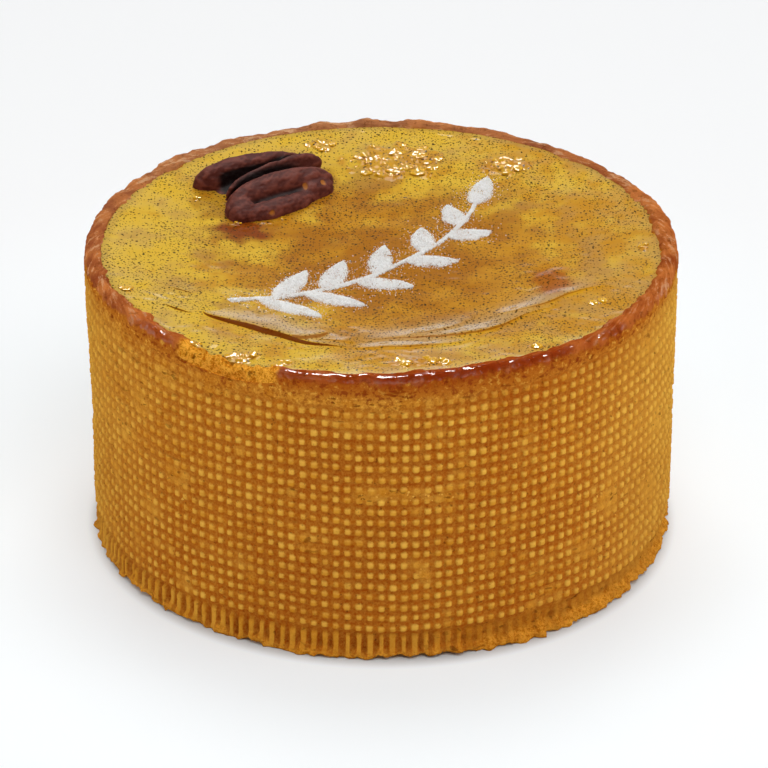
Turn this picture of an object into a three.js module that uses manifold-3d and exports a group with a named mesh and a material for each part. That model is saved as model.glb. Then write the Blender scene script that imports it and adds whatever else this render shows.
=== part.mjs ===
// A tall custard flan: a shortcrust shell baked in a ring against a woven liner, filled to just
// under its rim with vanilla custard, with half a pecan pressed into the top.
// Millimetres, +Z up, origin at the middle of the flat underside. The front of the flan faces -Y.

import * as THREE from "three";
import Module from "manifold-3d";

// Driving dimensions of the flan
const RING_DIAMETER = 120; // inside of the baking ring
const SHELL_HEIGHT = 62; // mean height of the rim's crest
const WALL = 4.2; // thickness of the pastry side
const BASE = 4.5; // thickness of the pastry floor
const GAP = 0.3; // room left between pieces that touch

// Foot of the shell, where the liner's fringe pressed upright ribs into the pastry
const RIB_COUNT = 168;
const RIB_DEPTH = 0.45;
const RIB_TOP = 5.8;
const FOOT_BEVEL = 0.9;
const FOOT_LIFT = 1.1; // most that the ragged lower edge stands off the table
const FLAT_MARGIN = 4.5; // from the ring to the edge of the flat underside

// Rim: rounded, uneven, and crumbled away over one stretch at the front left
const RIM_ROUND = 2.2; // from the crest down to where the side runs straight
const RIM_CRAG = 0.22;
const RIM_WAVES = [[2, 0.3, 0.6], [3, 0.25, 2.1], [5, 0.2, 1.2], [9, 0.12, 0.3]]; // harmonic, height, phase
const CRUMBLED = { angle: -121, spread: 10, drop: 2.0, bite: 1.0 };
const RIM_LUMPS = [[103, 2.5, 0.6], [124, 4, 0.4], [138, 3, 0.5], [-70, 42, 1.7]]; // angle, spread, height

// Custard: highest against the pastry, sunk in the middle
const CUSTARD_LEVEL = 61.1;
const CUSTARD_DISH = 3.0;
const CUSTARD_SLUMP = 0.9; // where the rim has crumbled
const CUSTARD_SWELL = 0.3;
const BLISTER = { x: 34, y: -12.5, long: 8, wide: 4.5, height: 1.0 };
const FOLD = { x: -21, y: -33.5, turn: -14, long: 13, wide: 1.8, height: 0.9 };
const BUBBLED = [[3, 43, 8, 0.6], [25, 38, 6, 0.5], [-14, 48, 4, 0.4]]; // x, y, radius, height

// Pecan half: bent lobes side by side, in a frame with u along the nut, v across and w up
const NUT = { x: -24.4, y: 28.2, z: 57.4, turn: 34 };
const LOBE_SIZES = ["v", "w", "from", "to", "wide", "tall", "sweep", "bend", "dip", "rise", "thick"];
const NUT_LOBES = [
  [6.0, 4.9, -12.4, 13.0, 2.5, 3.7, -2.2, 0.7, -1.0, 0.5, 0.22],
  [1.5, 4.8, -9.4, 15.0, 1.4, 3.4, 0.4, 0.1, -0.8, 0.6, -0.05],
  [-3.4, 4.0, -12.0, 13.8, 2.7, 4.1, -0.5, -0.3, -0.9, 0.2, 0],
  [-7.9, 2.0, -12.6, 10.8, 2.3, 2.7, 0.4, 2.4, -0.2, 0.2, 0.1],
  [8.2, 2.0, -11.0, 10.5, 2.2, 2.4, -1.2, -1.2, -0.2, 0, 0],
  [-5.3, 2.1, -9.0, 11.5, 2.1, 2.9, 0, 0.6, -0.2, 0.3, 0],
  [-5.6, 2.3, -13.0, -6.5, 3.2, 3.0, -0.4, 0, -0.3, 0.4, 0],
  [-5.4, 2.4, 3.5, 13.0, 2.7, 3.2, 0.6, 0, -0.3, 0, 0],
  [4.2, 1.8, -10.0, 11.0, 2.6, 2.6, -0.8, 0, 0, 0.5, 0],
  [0.8, 1.6, -10.4, 12.0, 5.8, 1.9, 0, 0, 0, 0, 0],
].map((sizes) => Object.fromEntries(LOBE_SIZES.map((name, i) => [name, sizes[i]])));

const RADIUS = RING_DIAMETER / 2;
const CUP_RADIUS = RADIUS - WALL;
const TURN = 2 * Math.PI;

const wasm = await Module();
wasm.setup();

// A repeatable source of numbers between 0 and 1
function seeded(seed) {
  let state = seed;
  return () => {
    state = (state * 1664525 + 1013904223) % 4294967296;
    return state / 4294967296;
  };
}

function bell(distance, spread) {
  return Math.exp(-((distance / spread) ** 2));
}

// How far an angle in radians is from a place given in degrees, in degrees either way
function degreesFrom(angle, place) {
  const off = THREE.MathUtils.radToDeg(angle) - place;
  return off - 360 * Math.round(off / 360);
}

// 1 where the rim has crumbled away, 0 elsewhere
function crumbled(angle) {
  return bell(degreesFrom(angle, CRUMBLED.angle), CRUMBLED.spread);
}

// A ring of points round the Z axis; radius and height are functions of the angle and the index
function ring(count, radius, height) {
  return Array.from({ length: count }, (_, i) => {
    const angle = (TURN * i) / count;
    const r = radius(angle, i);
    return new THREE.Vector3(r * Math.cos(angle), r * Math.sin(angle), height(angle, i));
  });
}

// The closed skin that joins a row of rings, of any counts, with a single point at each end
function skin(rings) {
  const points = rings.flat();
  const faces = [];
  let start = 0;
  for (let k = 0; k + 1 < rings.length; k += 1) {
    const low = rings[k].length;
    const high = rings[k + 1].length;
    const next = start + low;
    let i = 0;
    let j = 0;
    while (i < low || j < high) {
      const a = start + (i % low);
      const b = next + (j % high);
      const stepLow = high === 1 || (low > 1 && (i + 1) / low <= (j + 1) / high);
      if (stepLow && i < low && low > 1) {
        faces.push(a, start + ((i + 1) % low), b);
        i += 1;
      } else if (j < high && high > 1) {
        faces.push(a, next + ((j + 1) % high), b);
        j += 1;
      } else {
        break;
      }
    }
    start = next;
  }
  const geometry = new THREE.BufferGeometry();
  geometry.setAttribute("position", new THREE.Float32BufferAttribute(points.flatMap((p) => p.toArray()), 3));
  geometry.setIndex(faces);
  return geometry;
}

function solid(geometry) {
  return new wasm.Manifold(new wasm.Mesh({
    numProp: 3,
    vertProperties: new Float32Array(geometry.attributes.position.array),
    triVerts: new Uint32Array(geometry.index.array),
  }));
}

function surfaceOf(body) {
  const mesh = body.getMesh();
  const geometry = new THREE.BufferGeometry();
  geometry.setAttribute("position", new THREE.Float32BufferAttribute(mesh.vertProperties, mesh.numProp));
  geometry.setIndex([...mesh.triVerts]);
  return geometry;
}

function piece(name, geometry, color, roughness) {
  geometry.computeVertexNormals();
  const mesh = new THREE.Mesh(geometry, new THREE.MeshStandardMaterial({ color, roughness, metalness: 0 }));
  mesh.name = name;
  return mesh;
}

// Pastry shell: flat underside, ribbed foot, straight side, uneven rim, and the cup inside
function pastryShell() {
  const draw = seeded(11);
  const lifts = Array.from({ length: RIB_COUNT * 2 }, () => FOOT_LIFT * draw() ** 2);
  const crags = Array.from({ length: RIB_COUNT }, () => RIM_CRAG * (2 * draw() - 1));
  const crest = (angle, i) => {
    const wave = (sum, [n, height, phase]) => sum + height * Math.sin(n * angle + phase);
    const lump = (sum, [at, spread, height]) => sum + height * bell(degreesFrom(angle, at), spread);
    const waves = RIM_WAVES.reduce(wave, 0);
    const lumps = RIM_LUMPS.reduce(lump, 0);
    return SHELL_HEIGHT + waves + lumps - CRUMBLED.drop * crumbled(angle) + (crags[i] ?? 0);
  };
  const rib = (angle, i) => RADIUS + (i % 2 === 0 ? 0 : -RIB_DEPTH);
  const side = () => RADIUS;
  const inset = (depth, bite) => (angle) => RADIUS - depth - bite * CRUMBLED.bite * crumbled(angle);
  const below = (depth) => (angle, i) => crest(angle, i) - depth;
  const level = (height) => () => height;
  const centre = (height) => ring(1, () => 0, level(height));
  return skin([
    centre(0),
    ring(RIB_COUNT / 2, () => RADIUS - FLAT_MARGIN, level(0)),
    ring(RIB_COUNT * 2, (a, i) => rib(a, i) - FOOT_BEVEL, (a, i) => lifts[i]),
    ring(RIB_COUNT * 2, rib, (a, i) => FOOT_BEVEL + lifts[i]),
    ring(RIB_COUNT * 2, rib, level(RIB_TOP - RIB_DEPTH)),
    ring(RIB_COUNT, side, level(RIB_TOP)),
    ring(RIB_COUNT / 2, side, level(SHELL_HEIGHT / 2)),
    ring(RIB_COUNT / 2, side, (a) => crest(a) - 2 * RIM_ROUND),
    ring(RIB_COUNT, inset(0.1, 1), below(RIM_ROUND)),
    ring(RIB_COUNT, inset(0.2 * WALL, 1), below(0.25 * RIM_ROUND)),
    ring(RIB_COUNT, inset(0.48 * WALL, 0.4), crest),
    ring(RIB_COUNT, inset(0.8 * WALL, 0), below(0.3 * RIM_ROUND)),
    ring(RIB_COUNT / 2, inset(WALL, 0), (a) => crest(a) - RIM_ROUND),
    ring(RIB_COUNT / 2, inset(WALL, 0), level(BASE)),
    centre(BASE),
  ]);
}

// Height of the custard's top over a point of the plan
function custardTop(x, y) {
  const reach = Math.min(Math.hypot(x, y) / CUP_RADIUS, 1);
  const waves = Math.sin(x / 9 + 1) * Math.cos(y / 11) + Math.sin((x + y) / 17);
  const swell = CUSTARD_SWELL * waves * (1 - reach ** 4);
  const blister = BLISTER.height * bell(x - BLISTER.x, BLISTER.wide) * bell(y - BLISTER.y, BLISTER.long);
  const turn = THREE.MathUtils.degToRad(FOLD.turn);
  const along = (x - FOLD.x) * Math.cos(turn) + (y - FOLD.y) * Math.sin(turn);
  const off = (y - FOLD.y) * Math.cos(turn) - (x - FOLD.x) * Math.sin(turn);
  const fold = FOLD.height * bell(along, FOLD.long) * bell(off, FOLD.wide);
  const bubble = (sum, [bx, by, r, height]) => sum + height * bell(Math.hypot(x - bx, y - by), r);
  const bubbles = BUBBLED.reduce(bubble, 0) * (1 - reach ** 8);
  const slump = CUSTARD_SLUMP * crumbled(Math.atan2(y, x)) * THREE.MathUtils.smoothstep(reach, 0.93, 1);
  const dish = CUSTARD_LEVEL - CUSTARD_DISH * (1 - reach ** 2);
  return dish + swell + blister + fold + bubbles - slump;
}

function custardBody() {
  const radius = CUP_RADIUS - GAP;
  const floor = BASE + GAP;
  const top = (r) => (angle) => custardTop(r * Math.cos(angle), r * Math.sin(angle));
  const steps = 15;
  const rings = [ring(1, () => 0, () => floor), ring(72, () => radius, () => floor)];
  for (let k = steps; k > 0; k -= 1) {
    const r = (radius * k) / steps;
    const count = Math.max(8, 8 * Math.round((12 * k) / steps));
    rings.push(ring(count, () => r, top(r)));
  }
  rings.push(ring(1, () => 0, top(0)));
  return solid(skin(rings));
}

// One lobe of the nut, from end to end, made thicker all round by grow
function nutLobe(lobe, grow) {
  const stations = 11;
  const sides = 14;
  const half = (lobe.to - lobe.from) / 2 + grow;
  const middle = (lobe.to + lobe.from) / 2;
  const section = (s) => {
    const taper = Math.sqrt(1 - Math.abs(s) ** 3.2) * (1 - lobe.thick * s);
    const v = lobe.v + lobe.sweep * s + lobe.bend * s * s;
    const w = lobe.w + lobe.rise * s + lobe.dip * s * s;
    const count = Math.abs(s) === 1 ? 1 : sides;
    return Array.from({ length: count }, (_, i) => {
      const angle = (TURN * i) / count;
      const across = v + Math.cos(angle) * (lobe.wide + grow) * taper;
      const up = w + Math.sin(angle) * (lobe.tall + grow) * taper;
      return new THREE.Vector3(middle + half * s, across, Math.max(up, -grow));
    });
  };
  const rings = [];
  for (let k = 0; k <= stations; k += 1) {
    rings.push(section(Math.sin(Math.PI * (k / stations - 0.5))));
  }
  const place = new THREE.Matrix4().makeRotationZ(THREE.MathUtils.degToRad(NUT.turn));
  place.setPosition(NUT.x, NUT.y, NUT.z);
  return solid(skin(rings).applyMatrix4(place));
}

function nut(grow) {
  return NUT_LOBES.map((lobe) => nutLobe(lobe, grow)).reduce((whole, lobe) => whole.add(lobe));
}

const flan = new THREE.Group();
flan.add(piece("pastry_shell", pastryShell(), 0xb9772a, 0.75));
flan.add(piece("custard", surfaceOf(custardBody().subtract(nut(GAP))), 0xcb9a30, 0.2));
flan.add(piece("pecan_half", surfaceOf(nut(0)), 0x5a2e24, 0.5));

export default flan;
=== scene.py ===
# %% [markdown]
# A tall custard flan in Blender
#
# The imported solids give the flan's true sizes. This lesson dresses them: each cell makes one piece or
# one finish, says what it is on the real flan, and prints what it made. Points are worked out in
# millimetres with numpy and become metres only when a mesh is made.

# %% Load the solids
import math
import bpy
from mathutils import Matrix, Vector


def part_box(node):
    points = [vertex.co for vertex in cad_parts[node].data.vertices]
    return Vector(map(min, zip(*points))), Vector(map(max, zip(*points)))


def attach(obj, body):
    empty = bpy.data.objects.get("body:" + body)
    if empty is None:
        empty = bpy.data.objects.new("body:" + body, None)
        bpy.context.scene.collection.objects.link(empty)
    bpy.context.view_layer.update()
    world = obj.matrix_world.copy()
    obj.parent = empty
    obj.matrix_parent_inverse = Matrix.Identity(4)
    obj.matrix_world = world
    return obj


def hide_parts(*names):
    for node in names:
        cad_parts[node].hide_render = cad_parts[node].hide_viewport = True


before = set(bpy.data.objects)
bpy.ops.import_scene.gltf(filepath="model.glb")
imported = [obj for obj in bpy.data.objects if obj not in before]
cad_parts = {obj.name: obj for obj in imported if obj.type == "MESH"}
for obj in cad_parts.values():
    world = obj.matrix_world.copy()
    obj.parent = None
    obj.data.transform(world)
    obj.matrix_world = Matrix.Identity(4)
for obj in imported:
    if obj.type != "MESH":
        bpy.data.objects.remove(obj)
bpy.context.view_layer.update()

from types import SimpleNamespace

import bmesh
import bpy
import numpy as np
from mathutils import Vector

MM = 0.001
TURN = 2 * math.pi
print("nodes:", sorted(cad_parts))

# %% [markdown]
# Camera
#
# The flan is seen from a little above, through a long lens, so its sides stay almost upright. A camera
# is placed by the point it looks at, its height angle and its distance. Depth of field stays off.

# %% Camera
LOOK_AT = (0.0003, 0.0, 0.0295)
HEIGHT_ANGLE = math.radians(28.19)
DISTANCE = 0.932
LENS = 211.5
ROLL = math.radians(0.285)

camera_data = bpy.data.cameras.new("camera")
camera_data.lens = LENS
camera_data.sensor_width = 36.0
camera_data.clip_end = 50.0
camera = bpy.data.objects.new("camera", camera_data)
bpy.context.scene.collection.objects.link(camera)
camera.location = (LOOK_AT[0], LOOK_AT[1] - DISTANCE * math.cos(HEIGHT_ANGLE),
                   LOOK_AT[2] + DISTANCE * math.sin(HEIGHT_ANGLE))
camera.rotation_mode = "ZXY"
camera.rotation_euler = (math.pi / 2 - HEIGHT_ANGLE, 0.0, ROLL)
bpy.context.scene.camera = camera
print("camera at", [round(v, 3) for v in camera.location])

# %% [markdown]
# Helpers for shapes
#
# Baked food is never smooth, so most shapes here are a simple form plus soft unevenness. A sum of sine
# waves with seeded directions gives that: it is smooth, it repeats exactly on each run, and it closes on
# itself round the flan when the angle is turned into a point on a circle first.

# %% Helpers for shapes
def bell(distance, spread):
    """1 in the middle, falling off smoothly over the spread."""
    return np.exp(-((distance / spread) ** 2))


def ease(value, start, end):
    """0 before start, 1 after end, and a smooth step between them."""
    t = np.clip((value - start) / (end - start), 0.0, 1.0)
    return t * t * (3 - 2 * t)


def ripple(points, size, seed, count=26):
    """Smooth unevenness between about -1 and 1, with lumps of the given size in millimetres."""
    draw = np.random.default_rng(seed)
    total = np.zeros(points.shape[:-1])
    for _ in range(count):
        way = draw.normal(size=points.shape[-1])
        way *= draw.uniform(0.7, 1.5) * math.pi / (size * np.linalg.norm(way))
        total += np.sin(points @ way + draw.uniform(0, TURN))
    return total / math.sqrt(count)


def along_and_across(x, y, foot, way):
    """Distances over the plan from a foot: along a direction, and to its left."""
    dx, dy = x - foot[0], y - foot[1]
    return dx * math.cos(way) + dy * math.sin(way), dy * math.cos(way) - dx * math.sin(way)


def mesh_piece(name, points, faces, values=None, smooth=True):
    """A new object from points in millimetres, with named numbers on its points for the finish to read."""
    mesh = bpy.data.meshes.new(name)
    mesh.from_pydata((np.asarray(points) * MM).tolist(), [], [list(map(int, face)) for face in faces])
    for key, numbers in (values or {}).items():
        layer = mesh.attributes.new(key, "FLOAT", "POINT")
        layer.data.foreach_set("value", np.ascontiguousarray(numbers, dtype=np.float32).ravel())
    if smooth:
        mesh.shade_smooth()
    else:
        mesh.shade_flat()
    mesh.update()
    piece = bpy.data.objects.new(name, mesh)
    bpy.context.scene.collection.objects.link(piece)
    return piece


def tube_faces(rows, columns, first=0):
    """Quads of a grid of rows that closes on itself round its columns."""
    index = first + np.arange(rows * columns).reshape(rows, columns)
    low, high = index[:-1], index[1:]
    quads = np.stack([low, np.roll(low, -1, 1), np.roll(high, -1, 1), high], -1)
    return quads.reshape(-1, 4).tolist()


def cap_faces(ring, tip, upward):
    """Triangles from a ring of point numbers to one point."""
    turned = np.roll(ring, -1)
    ends = (ring, turned) if upward else (turned, ring)
    return np.stack([*ends, np.full(len(ring), tip)], -1).tolist()


def triangles(piece):
    return sum(len(p.vertices) - 2 for p in piece.data.polygons)


print("shape helpers ready")

# %% [markdown]
# Helpers for finishes
#
# A material is a small graph of nodes. Clicking it together hides the sums, so here a socket is wrapped
# in a class whose operators add Math nodes: `1 - mask * 0.5` reads as it would on paper. Every other node
# comes from one method, which sets the node's own settings first and then its sockets. Colours are laid
# one over another like coats of paint, each with the mask that says where it shows.

# %% Helpers for finishes
class Wire:
    """The output of a node, for use in sums: each operator adds one Math node."""

    def __init__(self, graph, socket):
        self.graph = graph
        self.socket = socket

    def math(self, operation, *values):
        return self.graph.node("ShaderNodeMath", {"operation": operation}, dict(enumerate(values)))

    def __add__(self, other):
        return self.math("ADD", self, other)

    def __radd__(self, other):
        return self.math("ADD", other, self)

    def __sub__(self, other):
        return self.math("SUBTRACT", self, other)

    def __rsub__(self, other):
        return self.math("SUBTRACT", other, self)

    def __mul__(self, other):
        return self.math("MULTIPLY", self, other)

    def __rmul__(self, other):
        return self.math("MULTIPLY", other, self)

    def __abs__(self):
        return self.math("ABSOLUTE", self)

    def __lt__(self, other):
        return self.math("LESS_THAN", self, other)

    def root(self):
        return self.math("SQRT", self)

    def fraction(self):
        return self.math("FRACT", self)

    def ease(self, start, end):
        """0 before start, 1 after end, smooth between: a Map Range node."""
        return self.graph.node("ShaderNodeMapRange", {"interpolation_type": "SMOOTHSTEP"},
                               {"Value": self, "From Min": start, "From Max": end})


class Graph:
    """A tree of nodes that one method fills."""

    def __init__(self, tree):
        self.tree = tree

    def node(self, kind, settings=None, sockets=None, out=0):
        node = self.tree.nodes.new(kind)
        for key, value in (settings or {}).items():
            setattr(node, key, value)
        for key, value in (sockets or {}).items():
            self.feed(node.inputs[key], value)
        return Wire(self, node.outputs[out])

    def feed(self, socket, value):
        if isinstance(value, Wire):
            self.tree.links.new(value.socket, socket)
        else:
            socket.default_value = value


class Finish(Graph):
    """A material round one Principled shader; constants are set on the shader's own sockets."""

    def __init__(self, name, constants):
        self.material = bpy.data.materials.new(name)
        self.material.use_nodes = True
        super().__init__(self.material.node_tree)
        self.shader = self.tree.nodes["Principled BSDF"]
        for socket, value in constants.items():
            self.shader.inputs[socket].default_value = value

    def surface(self, **wires):
        """Joins wires to the shader; Base_Color stands for the socket Base Color."""
        for key, wire in wires.items():
            self.feed(self.shader.inputs[key.replace("_", " ")], wire)

    def vector(self, operation, sockets, out=0):
        return self.node("ShaderNodeVectorMath", {"operation": operation}, sockets, out)

    def place(self):
        """Where a point is on the flan, in millimetres."""
        return self.vector("SCALE", {0: self.node("ShaderNodeTexCoord", out="Object"), "Scale": 1 / MM})

    def value(self, name):
        """A number that the mesh carries on its points."""
        return self.node("ShaderNodeAttribute", {"attribute_name": name}, out="Fac")

    def noise_at(self, spot, scale, detail, rough):
        return self.node("ShaderNodeTexNoise", None,
                         {"Vector": spot, "Scale": scale, "Detail": detail, "Roughness": rough})

    def noise(self, size, detail=3.0, rough=0.55, squash=(1, 1, 1)):
        """Noise between 0 and 1 with lumps of the given size in millimetres."""
        return self.noise_at(self.vector("MULTIPLY", {0: self.place(), 1: squash}), 0.5 / size, detail, rough)

    def mix(self, factor, first, second):
        return self.node("ShaderNodeMix", {"data_type": "RGBA"}, {0: factor, 6: first, 7: second}, out=2)

    def over(self, colour, *coats):
        """A colour with coats laid over it in turn, each a mask and the coat's own colour."""
        for mask, coat in coats:
            colour = self.mix(mask, colour, coat)
        return colour

    def bump(self, height, distance, strength):
        """A normal from a height between 0 and 1 that stands for a real height in millimetres."""
        return self.node("ShaderNodeBump", None,
                         {"Height": height, "Distance": distance * MM, "Strength": strength})


def paint(red, green, blue):
    """A colour as a screen shows it, 0 to 255, turned into the linear values that shaders use."""
    share = [v / 255 for v in (red, green, blue)]
    return (*[v / 12.92 if v <= 0.04045 else ((v + 0.055) / 1.055) ** 2.4 for v in share], 1.0)


def dress(piece, material):
    piece.data.materials.append(material)
    print("finish:", piece.name, "in", material.name)


print("finish helpers ready")

# %% [markdown]
# Sizes of the shell
#
# The driving sizes are those of the solids: the ring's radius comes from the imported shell's own box, and
# the rest are the baker's numbers. The side was baked against a woven liner, which left a grid of raised
# dots, and the liner's fringe left upright ribs along the foot. Places round the flan are angles in
# degrees, with the front at -90.

# %% Sizes of the shell
shell_low, shell_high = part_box("pastry_shell")
RADIUS = (shell_high[0] - shell_low[0]) / 2 / MM
CREST = 62.0
WALL = 4.2
BASE = 4.5
CUP = RADIUS - WALL
LEAN_LEFT = 0.8

DOT_COLUMNS = 168
DOT_ROWS = 22
DOT_LOW = 6.9
DOT_PITCH = 2.39
DOT_HEIGHT = 0.62

# Waves of the rim's crest: how many round, height and phase; then lumps: angle, spread and height
RIM_WAVES = [(2, 0.3, 0.6), (3, 0.25, 2.1), (5, 0.2, 1.2), (9, 0.12, 0.3)]
RIM_LUMPS = [(103, 2.5, 0.6), (124, 4, 0.4), (138, 3, 0.5), (-70, 42, 1.7)]
CRUMBLED_AT, CRUMBLED_SPREAD, CRUMBLED_DROP, CRUMBLED_BITE = -121, 10, 2.3, 1.5
FRONT_AT, FRONT_SPREAD = -80, 42


def degrees_from(angle, place):
    return (np.degrees(angle) - place + 180) % 360 - 180


def near(angle, place, spread):
    """1 at a place round the flan, falling off over a spread, both in degrees."""
    return bell(degrees_from(angle, place), spread)


def round_flan(angle, height, radius=RADIUS):
    """Points on the side of the flan, from their angle and height."""
    return np.stack(np.broadcast_arrays(radius * np.cos(angle), radius * np.sin(angle), height), -1)


def crumbled(angle):
    """1 where the rim has crumbled away, 0 elsewhere."""
    return near(angle, CRUMBLED_AT, CRUMBLED_SPREAD)


def crest(angle):
    """Height of the rim's crest."""
    height = CREST - CRUMBLED_DROP * crumbled(angle)
    for count, size, phase in RIM_WAVES:
        height = height + size * np.sin(count * angle + phase)
    for place, spread, size in RIM_LUMPS:
        height = height + size * near(angle, place, spread)
    return height


print(f"radius {RADIUS:.2f} mm, {DOT_COLUMNS} dots round and {DOT_ROWS} up")

# %% [markdown]
# Rows of the shell
#
# The shell is stacked from blocks of rows, from the underside to the rim and down inside the cup. Each
# dot is four lines wide and four lines high: two carry its flat top and two its foot, so a grid of only
# four points per dot and row gives a crisp, pillow-like dot. A block also carries the numbers that the
# finish reads later, such as how far a point is from the middle of its dot.

# %% Rows of the shell
DOT_LINES = np.array([-0.39, -0.15, 0.15, 0.39])
DOT_AWAY = np.abs(DOT_LINES)
COLUMNS = DOT_COLUMNS * len(DOT_LINES)
PITCH_ANGLE = TURN / DOT_COLUMNS
SHELL_VALUES = {"across": 0.3, "up": 0.3, "press": 0.0, "tint": 0.5, "rim": 0.0, "raw": 0.0,
                "gloss": 0.0, "pale": 0.0, "front": 0.0, "low": 0.0, "layer": 0.0, "sag": 0.0}

shell_draw = np.random.default_rng(7)
cell = np.arange(COLUMNS) // len(DOT_LINES)
line = np.arange(COLUMNS) % len(DOT_LINES)
column_angle = (cell + DOT_LINES[line]) * PITCH_ANGLE

# The middle of the front, and how far from it the painted sheen on the flanks begins and is strongest
BROWN_AT, PALE_FROM, PALE_TO = -95, 35, 85


def block(angle, height, radius, **values):
    """Rows of the shell with the numbers that its finish reads."""
    parts = {"angle": angle, "height": height, "radius": radius, **SHELL_VALUES, **values}
    return dict(zip(parts, np.broadcast_arrays(*parts.values())))


def plain_rows(heights, radii):
    """Smooth rows, one for each height and radius."""
    angle = np.broadcast_to(column_angle, (len(heights), COLUMNS))
    return block(angle, np.array(heights)[:, None], np.array(radii)[:, None])


def uneven_side(angle, height):
    """How far the side stands out or in because dough never lies quite flat."""
    spot = round_flan(angle, height)
    return 0.10 * ripple(spot, 14, 23) + 0.05 * ripple(spot, 1.3, 24)


def painted_flank_sheen(angle):
    """How much a painted sheen pales the flanks: 0 at the front, 1 well round the sides."""
    return ease(np.abs(degrees_from(angle, BROWN_AT)), PALE_FROM, PALE_TO)


underside = plain_rows([0.0, 0.0], [CUP / 2, CUP])
print("each row has", COLUMNS, "points and", len(SHELL_VALUES), "numbers for the finish")

# %% [markdown]
# Ribbed foot
#
# The liner's fringe pressed upright ribs into the lowest strip. They are clear at the front left and fade
# into rough crumb elsewhere. The dough crept out under the ring, so the lower edge is a ragged lip that
# flares in places and stands off the table in others.

# %% Ribbed foot
FOOT_TOP = 5.4
FOOT_SHARES = [0.0, 0.07, 0.16, 0.25, 0.35, 0.45, 0.55, 0.65, 0.75, 0.85, 0.95]
RIB_LINES = np.array([-0.43, -0.2, 0.2, 0.43])
RIB_DEPTH = 0.95
FOOT_LIP = 0.6
FOOT_REACH = 1.6
FOOT_RAG = 0.4
FOOT_CRUMB = 0.45
# The stretch with clear ribs, from one angle to another
RIBS_FROM, RIBS_TO = -172, -80
# Where the foot stands off the table, and where it spread outwards: angle, spread and how far
FOOT_LIFTS = [(-82, 9, 0.7), (-30, 5, 0.6), (-150, 7, 0.5), (20, 12, 0.7), (75, 15, 0.8), (130, 9, 0.7)]
FOOT_FLARES = [(-55, 22, 0.9), (-98, 12, 0.8)]


def foot_edge(angle):
    """Height of the foot's ragged lower edge."""
    spot = round_flan(angle, 0.0)
    edge = FOOT_RAG * (0.5 + 0.8 * ripple(spot, 3.5, 31) + 0.5 * ripple(spot, 0.9, 35))
    for place, spread, lift in FOOT_LIFTS:
        edge = edge + lift * near(angle, place, spread)
    return np.clip(edge + shell_draw.normal(0, 0.1, COLUMNS), 0.05, 1.4)


def foot_rows():
    """Ribs left by the liner's fringe, with a ragged lower edge."""
    share = np.array(FOOT_SHARES)[:, None]
    wide = np.clip(shell_draw.normal(0.95, 0.12, DOT_COLUMNS), 0.65, 1.05)[cell]
    aside = np.clip(shell_draw.normal(0, 0.03, DOT_COLUMNS), -0.04, 0.04)[cell]
    top = FOOT_TOP + shell_draw.uniform(-0.5, 0.3, DOT_COLUMNS)[cell]
    angle = (cell + RIB_LINES[line] * wide + aside) * PITCH_ANGLE
    edge = foot_edge(angle)
    height = edge + (top - edge) * share
    angle = np.broadcast_to(angle, height.shape)
    spot = round_flan(angle, height)
    ribbed = ease(-degrees_from(angle, RIBS_TO), -20, 15) * ease(degrees_from(angle, RIBS_FROM), -10, 10)
    clear = 0.3 + 0.7 * ribbed
    strength = shell_draw.uniform(0.4, 1.1, DOT_COLUMNS)[cell] * clear
    rib = ease(-DOT_AWAY[line], -0.42, -0.2) * strength
    lip = 1 - ease(share + 0.12 * ripple(spot, 2.0, 33), 0.1, 0.36)
    rib = rib + (0.9 - rib) * lip
    waist = 1 - 0.9 * ease(share, 0.85, 1.0)
    radius = RADIUS - RIB_DEPTH * (1 - rib * waist) + uneven_side(angle, height)
    radius = radius + FOOT_LIP * lip * (0.4 + 0.6 * ripple(spot, 1.6, 34))
    for place, spread, size in FOOT_FLARES:
        radius = radius + size * lip * near(angle, place, spread)
    crumbly = np.abs(ripple(spot, 2.2, 32)) + 0.8 * np.abs(ripple(spot, 0.8, 36))
    radius = radius - FOOT_CRUMB * crumbly * (1.2 - clear)
    tint = shell_draw.uniform(0.0, 0.45, DOT_COLUMNS)[cell]
    raw = np.maximum((1.2 - clear) * 0.58 * (1 - 0.7 * ease(share, 0.2, 1.0)), 0.45 * lip)
    up = np.where(DOT_AWAY[line] > 0.3, 0.62 - 0.3 * ease(share, 0.45, 0.95), 0.16) + 0.16 * (1 - waist)
    return block(angle, height, np.minimum(radius, RADIUS + FOOT_REACH), across=DOT_AWAY[line], up=up,
                 press=clear * (1 - 0.7 * lip), tint=tint, raw=raw, pale=painted_flank_sheen(angle),
                 # low: strength of the painted shade, strongest along the foot where the ribs fade
                 low=1.1 + 2.2 * (1 - clear))


foot = foot_rows()
print("foot:", len(foot["height"]), "rows")

# %% [markdown]
# Printed side
#
# The dots are real relief. Every dot has its own size, height and tint, because dough never fills a liner
# evenly. The print stops just under the rim, is weak where the dough was thin, and is gone where the side
# was scuffed.

# %% Printed side
PRINT_TOP = 61.5
# Where the print stops lower down: angle, spread and how much lower
PRINT_GAPS = [(-119, 17, 4.5), (-84, 17, 4.0)]
FAINT_AT, FAINT_SPREAD, FAINT = -148, 26, 0.35
# Scuffed places on the side: angle, height, and half sizes in degrees and millimetres
SCUFFS = [(-88, 37, 9, 1.3), (-79, 36, 5, 1.0), (-82, 18.5, 1.6, 2.6), (-41, 24, 4, 3), (-97, 57, 14, 1.4)]


def scuffed(angle, height):
    """1 where the side was scuffed and lost its dots."""
    mask = np.zeros(np.broadcast(angle, height).shape)
    spot = round_flan(angle, height)
    for place, level, spread, tall in SCUFFS:
        away = np.hypot(degrees_from(angle, place) / spread, (height - level) / tall)
        mask = np.maximum(mask, 1 - ease(away + 0.35 * ripple(spot, 2.0, 27), 0.5, 1.2))
    return mask


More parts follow.
